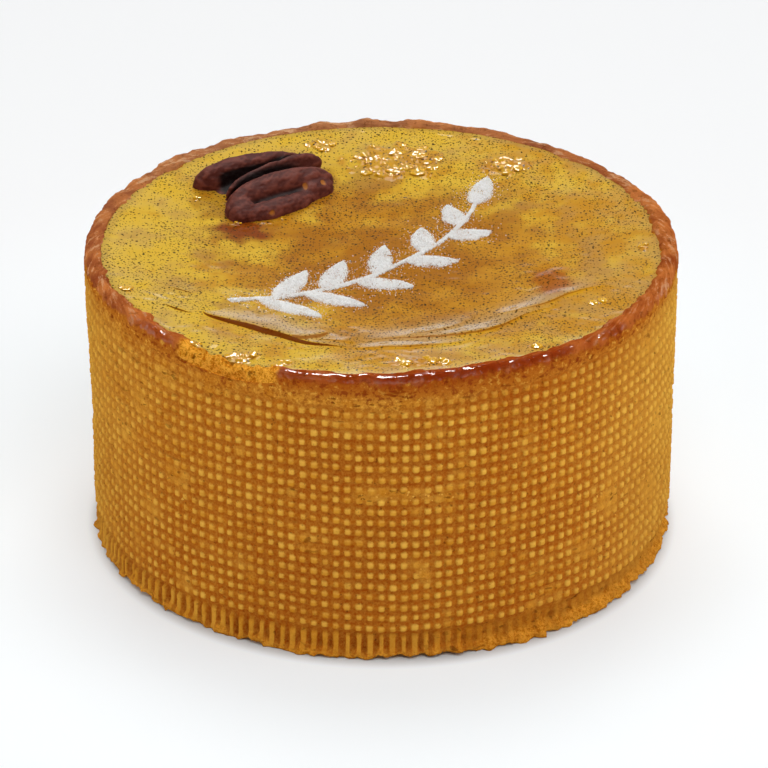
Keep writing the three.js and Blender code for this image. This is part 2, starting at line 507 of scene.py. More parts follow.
def pressed(angle, height):
    """How well the liner printed: weak just under the rim, weakest at the front, worn in patches."""
    spot = round_flan(angle, height)
    edge = PRINT_TOP
    for place, spread, drop in PRINT_GAPS:
        edge = edge - drop * near(angle, place, spread)
    edge = edge + 1.3 * ripple(spot, 3, 21)
    worn = ease(ripple(spot, 6, 22), 0.4, 2.0)
    faint = FAINT * near(angle, FAINT_AT, FAINT_SPREAD) * ease(height, 10, 45)
    printed = (1 - ease(height, edge - 4.0, edge + 2.0)) * (1 - 0.7 * worn)
    return printed * (1 - 0.8 * scuffed(angle, height)) * (1 - faint)


def dotted_rows():
    """The grid of dots that the liner printed in the side."""
    rows = np.arange(DOT_ROWS * len(DOT_LINES))
    row, level = rows // len(DOT_LINES), rows % len(DOT_LINES)
    pick = np.ix_(row, cell)
    grid = (DOT_ROWS, DOT_COLUMNS)
    size = np.clip(shell_draw.normal(1.0, 0.08, grid), 0.75, 1.12)[pick]
    side_shift = np.clip(shell_draw.normal(0, 0.04, grid), -0.06, 0.06)[pick]
    up_shift = np.clip(shell_draw.normal(0, 0.04, grid), -0.06, 0.06)[pick]
    tall = np.clip(shell_draw.normal(0.92, 0.2, grid), 0.3, 1.15)[pick]
    tint = shell_draw.uniform(0, 1, grid)[pick]
    angle = (cell[None, :] + DOT_LINES[line][None, :] * size + side_shift) * PITCH_ANGLE
    height = DOT_LOW + (row[:, None] + DOT_LINES[level][:, None] * size + up_shift) * DOT_PITCH
    height = height + 0.25 * ripple(round_flan(angle, height), 25, 25)
    across, up = DOT_AWAY[line][None, :], DOT_AWAY[level][:, None]
    form = (1 - ease(np.hypot(across, up), 0.2, 0.48)) * tall
    press = pressed(angle, height)
    plain = 0.5 + 0.16 * ripple(round_flan(angle, height), 1.0, 26)
    radius = RADIUS - DOT_HEIGHT * (1 - press * form - (1 - press) * plain) + uneven_side(angle, height)
    return block(angle, height, np.minimum(radius, RADIUS), across=across, up=up,
                 press=press * ease(tall, 0.1, 0.8), tint=tint, rim=0.3 * ease(height, 50, 60),
                 raw=0.36 * scuffed(angle, height), pale=painted_flank_sheen(angle),
                 # Painted light: low shades the side towards the foot; the last number sets each dot's lit
                 # top and shaded bottom.
                 low=1 - ease(height, 5, 45), sag=-DOT_LINES[level][:, None])


dotted = dotted_rows()
print("printed side:", DOT_ROWS * DOT_COLUMNS, "dots in", len(dotted["height"]), "rows")

# %% [markdown]
# Band and rim
#
# Above the dots the side is plain. The rim was trimmed with a knife and laps of dough were pressed over
# it, so it is streaked along slanting layers. It is leaner at the front and at the back, and one stretch
# at the front left crumbled away.

# %% Band and rim
# Section of the rim: how far in from the side, and how far below the crest
RIM_INSET = np.array([0.22, 0.24, 0.30, 0.45, 0.75, 1.2, 1.8, 2.4, 3.0, 3.5, 3.9, 4.25])
RIM_DROP = np.array([2.6, 1.7, 0.95, 0.42, 0.14, 0.02, 0.0, 0.08, 0.25, 0.62, 1.35, 2.8])
BAND_SHARES = [0.15, 0.5, 0.85]
# Where the rim is leaner: angle, spread and by what share
RIM_LEAN = [(-92, 45, 0.15), (80, 55, 0.34)]
# Where the rim is greyer and its painted sheen strongest: angle and spread
PALE_RIM_AT, PALE_RIM_SPREAD = 110, 75
BRUSHED_SPREAD = 50
THICK_GLAZE_AT, THICK_GLAZE_SPREAD = -78, 24
LAP_SLANT = 0.31
# Where a drip of glaze ran over the rim beside the broken stretch: angle, spread and strength
DRIP_AT, DRIP_SPREAD, DRIP = -139, 7, 0.6


def glazed_front(angle):
    """1 along the front, where the rim got the most glaze."""
    return near(angle, FRONT_AT, FRONT_SPREAD)


def band_rows():
    """The plain band between the last dots and the rim."""
    low = DOT_LOW + (DOT_ROWS - 0.45) * DOT_PITCH
    share = np.array(BAND_SHARES)[:, None]
    angle = np.broadcast_to(column_angle, (len(BAND_SHARES), COLUMNS))
    height = low + (crest(angle) - RIM_DROP[0] - low) * share
    radius = RADIUS - 0.45 * DOT_HEIGHT + uneven_side(angle, height)
    radius = radius - 0.6 * CRUMBLED_BITE * crumbled(angle) * share
    return block(angle, height, radius, rim=0.3 + 0.1 * share, raw=crumbled(angle) * share,
                 pale=painted_flank_sheen(angle), front=glazed_front(angle))


def lapped(circle, layer, squeeze, size, seed):
    """Unevenness drawn out along the laps of dough."""
    return ripple(np.concatenate([squeeze * circle, layer[..., None]], -1), size, seed)


def rim_rows():
    """The rounded crest, with streaks along its laps and crags where it broke."""
    angle = np.broadcast_to(column_angle, (len(RIM_INSET), COLUMNS))
    broken = crumbled(angle)
    front = glazed_front(angle)
    circle = round_flan(angle, 0.0)[..., :2]
    lean = 1
    for place, spread, share in RIM_LEAN:
        lean = lean - share * near(angle, place, spread)
    lean = lean + 0.10 * ripple(round_flan(angle, 0.0), 6, 44)
    inset, drop = 0.25 + (RIM_INSET[:, None] - 0.25) * lean, RIM_DROP[:, None]
    layer = inset - LAP_SLANT * RADIUS * np.sin(angle)
    streak = ripple(circle, 5, 42)
    crag = lapped(circle, layer, 0.3, 0.8, 43)
    crag = crag + 0.5 * ripple(round_flan(angle, 2 * inset), 0.9, 47)
    crag = crag + broken * (1.2 * ripple(round_flan(angle, 2 * inset), 2.4, 46))
    rope = lapped(circle, layer, 0.45, 1.8, 49) * (1 - 0.8 * front)
    height = crest(angle) - drop + ease(drop, 2.0, 0.4) * (0.10 * streak + 0.13 * crag + 0.17 * rope)
    height = height + 0.25 * broken * crag * ease(-drop, -2.7, -1.5)
    bite = CRUMBLED_BITE * broken * ease(-inset, -3.0, -0.8) * (1 + 0.35 * crag)
    woven = (0.5 - ease(DOT_AWAY[line], 0.2, 0.36)) * ease(drop, 0.1, 0.9)
    woven = woven * shell_draw.uniform(0, 1, DOT_COLUMNS)[cell]
    radius = RADIUS - inset + 0.07 * crag + 0.5 * woven - bite
    radius = radius + 0.08 * rope + 0.3 * ripple(circle, 2.2, 48) * ease(inset, 1.8, 3.2)
    raw = ease(broken, 0.12, 0.5)
    drip = DRIP * near(angle, DRIP_AT, DRIP_SPREAD)
    brushed = near(angle, FRONT_AT, BRUSHED_SPREAD) * ease(ripple(circle, 7, 45), -0.9, 0.3)
    thick = near(angle, THICK_GLAZE_AT, THICK_GLAZE_SPREAD)
    gloss = np.maximum(np.maximum(brushed, thick), drip)
    gloss = gloss * ease(-drop, -1.6, -0.6) * (1 - ease(inset, 1.0, 1.7))
    front = np.maximum(front, drip)
    browned = ease(1.0 + 0.3 * front - drop + 0.4 * crag, -1.0 - 0.2 * front, 0.6)
    return block(angle, height, np.minimum(radius, RADIUS), tint=0.5 + 0.35 * streak,
                 rim=0.4 + 0.6 * browned * (1 - 0.9 * raw), raw=raw, gloss=gloss, front=front,
                 pale=near(angle, PALE_RIM_AT, PALE_RIM_SPREAD), layer=layer)


band, rim = band_rows(), rim_rows()
print("band and rim:", len(band["height"]), "and", len(rim["height"]), "rows")

# %% [markdown]
# Pastry shell
#
# The blocks are stacked, closed below and inside with a point in the middle, and become one mesh. The flan
# slumped a little to the left when it left its ring, so its upper left side leans out.

# %% Pastry shell
cup = plain_rows([CREST - 4.4, BASE, BASE], [CUP, CUP, CUP / 2])


def pastry_shell():
    blocks = [underside, foot, dotted, band, rim, cup]
    stack = {key: np.vstack([part[key] for part in blocks]) for key in cup}
    rows = len(stack["angle"])
    points = round_flan(stack["angle"], stack["height"], stack["radius"]).reshape(-1, 3)
    points[:, 0] -= LEAN_LEFT * ease(points[:, 2], 15, 60) * np.clip(-points[:, 0] / RADIUS, 0, 1) ** 2
    points = np.vstack([points, [[0, 0, 0], [0, 0, BASE]]])
    faces = tube_faces(rows, COLUMNS)
    faces += cap_faces(np.arange(COLUMNS), rows * COLUMNS, upward=False)
    faces += cap_faces(np.arange((rows - 1) * COLUMNS, rows * COLUMNS), rows * COLUMNS + 1, upward=True)
    values = {key: np.append(stack[key].ravel(), [plain, plain]) for key, plain in SHELL_VALUES.items()}
    return mesh_piece("pastry", points, faces, values)


pastry = pastry_shell()
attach(pastry, "root")
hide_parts("pastry_shell")
print("pastry:", triangles(pastry), "triangles")

# %% [markdown]
# Finish of the pastry
#
# Baked shortcrust is dry and matt. Where the liner's threads pressed it is thin and browns first, so the
# grooves are red-brown and the dots stay ochre. Some light is painted over that: each dot gets a painted
# shade on its lower side and a painted highlight on its upper side, a painted sheen pales the flanks, and a
# painted shade darkens the side towards the foot. The rim was brushed with glaze: darker, redder and shiny,
# with a painted sheen in pale streaks along its laps. The mesh says where dots, rim and raw crumb are; noise
# adds the blotches and pores of a real bake.

# %% Finish of the pastry
GROOVE = paint(188, 102, 16)
GROOVE_DARK = paint(164, 73, 7)
RIB_GAP = paint(152, 66, 4)
# Painted shade that darkens the side towards the foot
LOW_PAINTED_SHADE = paint(150, 68, 8)
OCHRE = paint(246, 188, 74)
ORANGE = paint(216, 142, 34)
# Colour of the painted highlight on the upper side of each dot
DOT_PAINTED_HIGHLIGHT = paint(252, 201, 96)
PORE = paint(90, 36, 4)
# Painted sheen on the flanks
FLANK_PAINTED_SHEEN = paint(228, 174, 72)
UNDER_RIM = paint(180, 86, 16)
RIM_BROWN = paint(142, 58, 20)
# Painted sheen along the rim's laps
RIM_RED = paint(210, 122, 56)
RIM_PAINTED_SHEEN = paint(212, 168, 126)
RIM_GREY = paint(174, 134, 98)
RIM_FRONT = paint(160, 62, 14)
RIM_GLAZED = paint(134, 40, 8)
RAW_CRUMB = paint(246, 172, 60)
LAP_SQUEEZE = 0.16


def bake_marks(finish):
    """What the pastry's colours share: the mesh's numbers, some noises, and masks made of both."""
    at = SimpleNamespace(**{key: finish.value(key) for key in SHELL_VALUES})
    at.blotch = finish.noise(8, 4)
    at.fine = finish.noise(1.5, 4, 0.6)
    at.crumb = finish.noise(0.22, 4, 0.7)
    at.coarse = finish.noise(0.6, 3, 0.65)
    at.away = (at.across * at.across + at.up * at.up).root()
    nub = (0.39 - at.away + 0.22 * (at.crumb - 0.5) + 0.16 * (at.fine - 0.5)).ease(0.0, 0.2)
    at.dot = at.press * nub + (1 - at.press) * (0.42 + 0.9 * (at.fine - 0.5) + 0.8 * (at.crumb - 0.5))
    at.flecks = finish.noise(0.4, 2).ease(0.64, 0.74) * (1 - 0.6 * at.dot)
    at.pores = finish.noise(0.8, 1.5, squash=(0.6, 0.6, 1.4)).ease(0.63, 0.68) * (1 - at.press)
    layer = finish.node("ShaderNodeCombineXYZ", None, {"Z": at.layer})
    squeeze = (LAP_SQUEEZE, LAP_SQUEEZE, 0.0)
    at.streak = finish.noise_at(finish.vector("MULTIPLY_ADD", {0: finish.place(), 1: squeeze, 2: layer}),
                                1.2, 4.0, 0.6)
    at.edge = (at.rim + 0.35 * (at.fine - 0.5)).ease(0.45, 0.85)
    return at


def dotted_colour(finish, at):
    """Ochre dots in red-brown grooves, with painted light: sheen on the flanks, shade low down, and a lit top
    and shaded bottom on each dot.
    """
    thread = 0.65 * at.up + 0.35 * at.across + 0.3 * (at.fine - 0.5) + 0.3 * (0.5 - at.blotch)
    dark = finish.over(GROOVE, (thread.ease(0.12, 0.36), GROOVE_DARK),
                       (at.away.ease(0.57, 0.7) * 0.85, RIB_GAP))
    light = finish.mix((0.5 * at.tint + 0.8 * at.blotch).ease(0.3, 1.0), ORANGE, OCHRE)
    grain = finish.noise(0.3, 2, 0.7).ease(0.25, 0.75)
    return finish.over(
        dark,
        (at.dot, light),
        # Painted shade on the lower side of each dot, then a painted highlight on its upper side
        (at.press * at.sag.ease(0.02, 0.3) * 0.45, GROOVE_DARK),
        (at.press * at.dot * (0.0 - at.sag).ease(0.0, 0.25) * 0.5, DOT_PAINTED_HIGHLIGHT),
        # Painted sheen that pales the flanks
        (at.pale * (0.3 + 0.4 * at.blotch), FLANK_PAINTED_SHEEN),
        (0.3 * grain, OCHRE),
        # Painted shade, darker towards the foot
        (at.low * 0.15, LOW_PAINTED_SHADE),
        (at.flecks * 0.6, PORE),
        (at.pores * 0.85, PORE))


def band_colour(finish, at, side):
    """The side, browner and coarser in the plain band under the rim."""
    plain = at.rim.ease(0.02, 0.3) * (1 - at.press)
    return finish.over(
        side,
        ((at.rim + 0.4 * (at.fine - 0.5)).ease(0.05, 0.5) * 0.6, UNDER_RIM),
        (plain * at.coarse.ease(0.5, 0.34) * 0.85, RIM_BROWN),
        (plain * at.coarse.ease(0.55, 0.68) * 0.75, OCHRE),
        (at.front * (at.rim + 0.3 * (at.coarse - 0.5)).ease(0.22, 0.45) * 0.5, RIM_FRONT))


def rim_colour(finish, at):
    """Red-brown laps with a painted sheen in pale streaks along them, darkest where the glaze is thick."""
    ruddy = (0.7 * at.tint + 1.8 * (at.streak - 0.5) + 0.8 * (at.fine - 0.5)).ease(-0.3, 0.9)
    # Painted sheen: pale streaks along the laps, stronger where the rim is greyer
    sheen_streaks = (at.streak + 0.3 * (at.crumb - 0.5)).ease(0.53, 0.66)
    return finish.over(
        RIM_BROWN,
        (ruddy, RIM_RED),
        (at.pale * (0.25 + 0.4 * at.blotch), RIM_GREY),
        (sheen_streaks * (0.5 + 0.3 * at.pale), RIM_PAINTED_SHEEN),
        (at.front * (0.6 + 0.4 * at.fine), RIM_FRONT),
        (at.coarse.ease(0.44, 0.32) * 0.45, PORE),
        ((at.gloss + 0.5 * (at.fine - 0.5)).ease(0.2, 0.9) * 0.7, RIM_GLAZED))


def crumb_colour(finish, at):
    """Bright, open crumb where the crust broke, with dark holes up at the rim."""
    holes = (0.5 * finish.noise(0.9, 3) + 0.5 * at.fine).ease(0.44, 0.36) * at.rim.ease(0.2, 0.4)
    return finish.over(
        GROOVE,
        ((0.5 * at.coarse + 0.5 * at.crumb).ease(0.38, 0.52), ORANGE),
        ((0.6 * at.crumb + 0.4 * at.coarse).ease(0.44, 0.57), RAW_CRUMB),
        (holes * 0.75, PORE))


def shortcrust():
    finish = Finish("baked shortcrust", {"Coat Roughness": 0.05, "Coat IOR": 1.5, "Specular IOR Level": 0.0})
    at = bake_marks(finish)
    broken = (at.raw + 0.5 * (at.fine - 0.5)).ease(0.3, 0.7)
    colour = finish.over(band_colour(finish, at, dotted_colour(finish, at)),
                         (at.edge, rim_colour(finish, at)), (broken, crumb_colour(finish, at)))
    shine = (at.edge * (1 - at.raw) * at.gloss).ease(0.15, 0.3)
    relief = at.crumb + 0.6 * at.fine + 0.6 * at.dot - 0.8 * at.pores - 0.5 * at.flecks
    finish.surface(Base_Color=colour, Roughness=0.85 - 0.3 * shine,
                   Coat_Weight=shine * (0.6 * at.coarse + 0.5 * at.fine).ease(0.545, 0.565),
                   Normal=finish.bump(relief + 1.6 * at.edge * at.streak, 0.3, 0.7))
    return finish.material


dress(pastry, shortcrust())

# %% [markdown]
# Pecan half
#
# A pecan half is a few long lobes side by side with deep grooves between them. Each lobe is a bent bean
# from a handful of sizes. Joining them by a voxel remesh gives one closed skin with soft valleys, which
# a boolean union would leave sharp; then fine wrinkles are pushed in along the nut.

# %% Pecan half
NUT_AT = np.array([-24.4, 28.2, 57.4])
NUT_TURN = math.radians(34)
# Sizes of a lobe: its middle across (v) and up (w), its ends along the nut, its half width and height, how
# its spine sweeps and bends across, dips and rises, and how much thicker one end is
LOBE_SIZES = ["v", "w", "start", "end", "wide", "tall", "sweep", "bend", "dip", "rise", "thick"]
NUT_LOBES = [dict(zip(LOBE_SIZES, sizes)) for sizes in [
    (6.0, 4.9, -12.4, 13.0, 2.5, 3.7, -2.2, 0.7, -1.0, 0.5, 0.22),
    (1.5, 4.8, -9.4, 15.0, 1.4, 3.4, 0.4, 0.1, -0.8, 0.6, -0.05),
    (-3.4, 4.0, -12.0, 13.8, 2.7, 4.1, -0.5, -0.3, -0.9, 0.2, 0),
    (-7.9, 2.0, -12.6, 10.8, 2.3, 2.7, 0.4, 2.4, -0.2, 0.2, 0.1),
    (8.2, 2.0, -11.0, 10.5, 2.2, 2.4, -1.2, -1.2, -0.2, 0, 0),
    (-5.3, 2.1, -9.0, 11.5, 2.1, 2.9, 0, 0.6, -0.2, 0.3, 0),
    (-5.6, 2.3, -13.0, -6.5, 3.2, 3.0, -0.4, 0, -0.3, 0.4, 0),
    (-5.4, 2.4, 3.5, 13.0, 2.7, 3.2, 0.6, 0, -0.3, 0, 0),
    (4.2, 1.8, -10.0, 11.0, 2.6, 2.6, -0.8, 0, 0, 0.5, 0),
    (0.8, 1.6, -10.4, 12.0, 5.8, 1.9, 0, 0, 0, 0, 0),
]]
LOBE_BLUNT = 3.2
# Spots where the skin is rubbed through: along and across the nut, and radius
NUT_CHIPS = [(5.2, -6.5, 0.75), (9.6, -6.8, 0.75), (-5.0, -10.0, 0.75)]
NUT_VOXEL = 0.26
NUT_SOFTENING = 5


def lobe_span(lobe):
    """Middle of a lobe along the nut, and half its length."""
    return (lobe["start"] + lobe["end"]) / 2, (lobe["end"] - lobe["start"]) / 2


def lobe_spine(lobe, s):
    """Middle of a lobe and its thickness, for s from -1 at one end to 1 at the other."""
    v = lobe["v"] + lobe["sweep"] * s + lobe["bend"] * s * s
    w = lobe["w"] + lobe["rise"] * s + lobe["dip"] * s * s
    taper = np.sqrt(np.clip(1 - np.abs(s) ** LOBE_BLUNT, 0, 1)) * (1 - lobe["thick"] * s)
    return v, w, taper


def lobe_mesh(lobe, first, stations=40, sides=32):
    """Points and faces of one bean, its underside flattened where it rests."""
    s = np.sin(np.linspace(-0.5, 0.5, stations + 2)[1:-1] * math.pi)[:, None]
    around = np.linspace(0, TURN, sides, endpoint=False)[None, :]
    v, w, taper = lobe_spine(lobe, s)
    middle, half = lobe_span(lobe)
    across = v + np.cos(around) * lobe["wide"] * taper
    up = np.maximum(w + np.sin(around) * lobe["tall"] * taper, 0.0)
    points = np.stack(np.broadcast_arrays(middle + half * s, across, up), -1).reshape(-1, 3)
    tips = [[lobe["start"], *lobe_spine(lobe, -1)[:2]], [lobe["end"], *lobe_spine(lobe, 1)[:2]]]
    count = stations * sides
    faces = tube_faces(stations, sides, first)
    faces += cap_faces(first + np.arange(sides), first + count, upward=False)
    faces += cap_faces(first + np.arange(count - sides, count), first + count + 1, upward=True)
    return np.vstack([points, tips]), faces


def fused(piece, voxel, smoothing):
    """The mesh of a piece after a voxel remesh and some smoothing, as a plain mesh."""
    remesh = piece.modifiers.new("fuse", "REMESH")
    remesh.mode = "VOXEL"
    remesh.voxel_size = voxel * MM
    smooth = piece.modifiers.new("soften", "SMOOTH")
    smooth.iterations = smoothing
    smooth.factor = 0.5
    mesh = bpy.data.meshes.new_from_object(piece.evaluated_get(bpy.context.evaluated_depsgraph_get()))
    bpy.data.objects.remove(piece)
    return mesh


def vertex_vectors(mesh, field):
    store = np.empty(len(mesh.vertices) * 3, dtype=np.float32)
    mesh.vertices.foreach_get(field, store)
    return store.reshape(-1, 3).astype(float)


def nut_grooves(local):
    """Depth of the grooves, 0 to 1: deep between the three main parts, shallow along the front one."""
    u, v, w = local.T
    reach, height = [], []
    for lobe in NUT_LOBES[:8]:
        middle, half = lobe_span(lobe)
        spine_v, spine_w, taper = lobe_spine(lobe, np.clip((u - middle) / half, -0.97, 0.97))
        height.append((w - spine_w) / lobe["tall"] / taper)
        reach.append(np.hypot((v - spine_v) / lobe["wide"] / taper, height[-1]))
    back, ridge, front, lower, under = reach[:5]
    parts = np.sort([np.minimum(back, under), ridge, np.min(reach[2:4] + reach[5:], 0)], 0)
    deep = 1 - ease(parts[1] - parts[0], 0.35, 1.3)
    shallow = (1 - ease(np.abs(front - lower), 0.1, 0.7)) * (1 - ease(u, 3, 8)) * ease(u, -10, -6)
    # Painted shade: the back lobe's flank facing the ridge, down in the valley between them, is darkened like
    # a groove
    facing = ease(NUT_LOBES[0]["v"] - v - 0.09 * u, -0.5, 0.8) * (back <= np.min(reach, 0))
    channel_shade = facing * ease(0.85 - height[0], 0.0, 0.45) * ease(u, -10.0, -6.5)
    return np.maximum(np.maximum(deep, 0.68 * shallow), channel_shade)


def rubbed_spots(local):
    """1 where the skin is rubbed through."""
    chip = np.zeros(len(local))
    for u, v, size in NUT_CHIPS:
        middle = local[np.argmin(np.hypot(local[:, 0] - u, local[:, 1] - v) - 0.3 * local[:, 2])]
        away = np.linalg.norm(local - middle, axis=1)
        chip = np.maximum(chip, 1 - ease(away / size + 0.2 * ripple(local, 0.7, 55), 0.7, 1.0))
    return chip


def pecan_half():
    points, faces = [], []
    for lobe in NUT_LOBES:
        lobe_points, lobe_faces = lobe_mesh(lobe, sum(map(len, points)))
        points.append(lobe_points)
        faces += lobe_faces
    mesh = fused(mesh_piece("pecan_lobes", np.vstack(points), faces), NUT_VOXEL, NUT_SOFTENING)
    local = vertex_vectors(mesh, "co") / MM
    groove, chip = nut_grooves(local), rubbed_spots(local)
    wrinkle = ripple(local * [0.35, 1, 1], 0.8, 51) + 0.6 * ripple(local * [0.5, 1, 1], 0.4, 52)
    notch = ease(np.abs(ripple(local[:, :1], 1.3, 53)), 0.5, 1.6) * ease(-local[:, 1], 5.5, 8.5)
    push = 0.06 * wrinkle + 0.08 * ripple(local, 3.0, 54) - 0.08 * notch - 0.35 * groove - 0.18 * chip
    lying = ease(local[:, 2], 0.0, 0.8)
    u, v, w = (local + vertex_vectors(mesh, "normal") * (push * lying)[:, None]).T
    cos, sin = math.cos(NUT_TURN), math.sin(NUT_TURN)
    placed = np.stack([u * cos - v * sin, u * sin + v * cos, w], -1) + NUT_AT
    faces = [tuple(p.vertices) for p in mesh.polygons]
    bpy.data.meshes.remove(mesh)
    return mesh_piece("pecan", placed, faces, {"groove": groove, "chip": chip, "wrinkle": wrinkle})


pecan = pecan_half()
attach(pecan, "root")
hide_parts("pecan_half")
print("pecan:", triangles(pecan), "triangles")

# %% [markdown]
# Finish of the pecan
#
# Roasted pecan skin is a dark red-brown and a little dusty on the high wrinkles. It is nearly black in the
# grooves, partly its own darker colour and partly painted shade, and painted shade alone darkens the back
# lobe's flank in the valley beside the ridge. It is pale tan where it has been rubbed through. It has only a
# soft sheen.

# %% Finish of the pecan
NUT_SKIN = paint(80, 34, 26)
NUT_LIGHT = paint(112, 56, 44)
# The grooves' own dark colour, laid on also as painted shade
NUT_GROOVE_AND_SHADE = paint(20, 6, 5)
NUT_FLESH = paint(174, 104, 34)


def pecan_skin():
    finish = Finish("pecan skin", {"Specular IOR Level": 0.07})
    fine = finish.noise(0.3, 4, 0.7)
    blotch = finish.noise(2.5, 3)
    dusty = (0.5 * finish.value("wrinkle") + 0.3 * blotch + 0.6 * fine).ease(-0.1, 1.2)
    # Grooves darkened: partly the skin's own colour, partly painted shade
    skin = finish.over(NUT_SKIN, (dusty, NUT_LIGHT), (finish.value("groove").ease(0.15, 0.85), NUT_GROOVE_AND_SHADE),
                       (finish.value("chip") * 0.85, NUT_FLESH))
    finish.surface(Base_Color=skin, Roughness=0.72 - 0.15 * blotch, Normal=finish.bump(fine, 0.2, 0.8))
    return finish.material


dress(pecan, pecan_skin())

# %% [markdown]
# Top of the custard
#
# The custard set against the pastry and sank in the middle, so its skin is a shallow dish with folds along
# the front, a few splits, a blister, and clear glaze that pooled at the back and in beads along the edge.
# All of it is one height over the plan, a function of x and y, so sugar can later be laid on it too.

# %% Top of the custard
CUSTARD_LEVEL = 61.1
CUSTARD_DISH = 3.0
CUSTARD_SLUMP = 0.9
CUSTARD_SWELL = 0.3
MENISCUS, MENISCUS_WIDE = 0.2, 1.1
BLISTER_AT, BLISTER_LONG, BLISTER_WIDE, BLISTER_HEIGHT = (34, -12.5), 8.5, 5.2, 0.6
# Painted shadow and dark reflection of the nut in front of it: middle, half length and half width
NUT_SHADOW_AT, NUT_SHADOW_LONG, NUT_SHADOW_WIDE = (-29.5, 11.5), 7.0, 4.8
# Ring round the nut, raised a little and darkened with painted shade and the nut's painted reflection: half
# length, half width and rise
NUT_RING_LONG, NUT_RING_WIDE, NUT_RING_RISE = 15, 10, 0.2
# Swollen places: x, y, radius and height
BUBBLED = [(3, 43, 8, 0.6), (25, 38, 6, 0.5), (-14, 48, 4, 0.4)]
# Splits and folds of the skin: points along each one, its height, the width of the slope behind it and of
# the steep face in front of it
SPLITS = [
    ([(-35.5, -26.8), (-29.8, -31.0), (-22.2, -34.8), (-16.5, -38.6), (-7.0, -41.0)], 0.45, 4.0, 1.9),
    ([(-42.8, -16.2), (-40.0, -17.6), (-37.3, -19.0)], 0.16, 2.0, 0.5),
    ([(-43.8, -24.6), (-40.5, -26.6), (-37.4, -28.6)], 0.2, 2.0, 0.7),
]
FOLDS = [
    ([(-18.0, -37.3), (-14.6, -36.9), (-10.8, -34.0)], 0.25, 2.0, 1.9),
    ([(-14.5, -38.0), (-10.0, -38.3), (-5.0, -38.5)], 0.1, 1.5, 0.5),
    ([(-5.5, -41.5), (5.3, -40.2), (16.0, -38.4)], 0.45, 2.8, 0.45),
    ([(-4.0, -38.2), (6.3, -35.9), (18.2, -34.2), (25.0, -30.2), (34.0, -24.2)], 0.6, 3.4, 0.6),
    ([(5.0, -34.8), (11.3, -32.6), (18.0, -27.6)], 0.35, 2.6, 0.45),
    ([(22.5, -26.6), (31.3, -23.5), (37.8, -18.6), (44.0, -15.6)], 0.5, 3.2, 0.5),
]
FACE_STEEP = 0.5
FACE_NEAR = 1.6
STRONG_FOLD = 0.35
# Pools of clear glaze: x, y, half length, half width, and how many bubbles stand in each
POOLS = [
    (2.5, 43, 11, 7.5, 42), (26, 40, 6, 4, 20), (-13, 49, 3.5, 2.2, 6), (7.5, -48.4, 6.5, 2.0, 9),
    (-36.4, -42.6, 1.4, 1.1, 2), (-27.5, -47.0, 3.5, 1.5, 7), (-19.5, -50.5, 2.0, 1.2, 4),
    (29.7, -42.8, 1.6, 0.9, 2), (42.8, -23.0, 1.4, 0.9, 2), (-51.0, -19.5, 1.3, 1.5, 2),
    (53.0, 0.5, 1.2, 1.8, 3), (-29.8, 14.6, 1.4, 0.4, 3), (-24.4, 15.6, 1.2, 0.4, 2),
    (-21.4, 17.8, 0.8, 0.4, 2), (-38.6, 24.2, 0.8, 0.5, 3),
]
POOL_RISE, FROTH_RISE = 0.2, 0.16


def smooth_path(points, steps=40):
    """Many points along a smooth line through a few."""
    points = np.array(points, dtype=float)
    order = len(points) - 1
    along = np.linspace(0, order, steps)
    curves = [np.polyfit(np.arange(len(points)), points[:, k], order) for k in (0, 1)]
    return np.stack([np.polyval(curve, along) for curve in curves], -1)


def from_path(x, y, points):
    """Signed distance to a smooth line, positive on its left, and where along it the nearest point is."""
    path = smooth_path(points)
    best = np.full(x.shape, np.inf)
    side = np.ones(x.shape)
    share = np.zeros(x.shape)
    for k in range(len(path) - 1):
        ax, ay = path[k]
        dx, dy = path[k + 1] - path[k]
        t = np.clip(((x - ax) * dx + (y - ay) * dy) / (dx * dx + dy * dy), 0, 1)
        ox, oy = x - ax - t * dx, y - ay - t * dy
        gap = np.hypot(ox, oy)
        closer = gap < best
        best = np.where(closer, gap, best)
        side = np.where(closer, np.where(dx * oy - dy * ox < 0, -1.0, 1.0), side)
        share = np.where(closer, (k + t) / (len(path) - 1), share)
    return best * side, share


def ridges(x, y, lines):
    """Splits or folds: height, signed gap to the nearest steep face, its half width, and the slope behind."""
    z, half, slope = np.zeros(x.shape), np.zeros(x.shape), np.zeros(x.shape)
    gap = np.full(x.shape, 9.0)
    for points, height, behind, face in lines:
        off, share = from_path(x, y, points)
        fade = np.sin(np.pi * np.clip(share, 0, 1)) ** 0.6
        strong = min(1.0, (height / STRONG_FOLD) ** 2)
        z += height * fade * np.where(off > 0, bell(off, behind), bell(off, FACE_STEEP))
        leaning = np.where(off > 0, bell(off - 0.6 * behind, 1.2 * behind), 0.0)
        slope = np.maximum(slope, strong * fade * leaning)
        off = off + face * fade / 2
        closer = np.abs(off) < np.abs(gap)
        gap = np.where(closer, off, gap)
        half = np.where(closer, np.where(np.abs(off) < FACE_NEAR, face * fade / 2, 0.0), half)
    return z, gap, half, slope


def glaze_pools(x, y):
    """Where glaze pooled, 0 to 1."""
    wander = 0.2 * ripple(np.stack([x, y], -1), 3.2, 64)
    pool = np.zeros(x.shape)
    for px, py, long, wide, _ in POOLS:
        inside = 1 - ease(np.hypot((x - px) / long, (y - py) / wide) + wander, 0.75, 1.0)
        pool = np.maximum(pool, inside)
    return pool


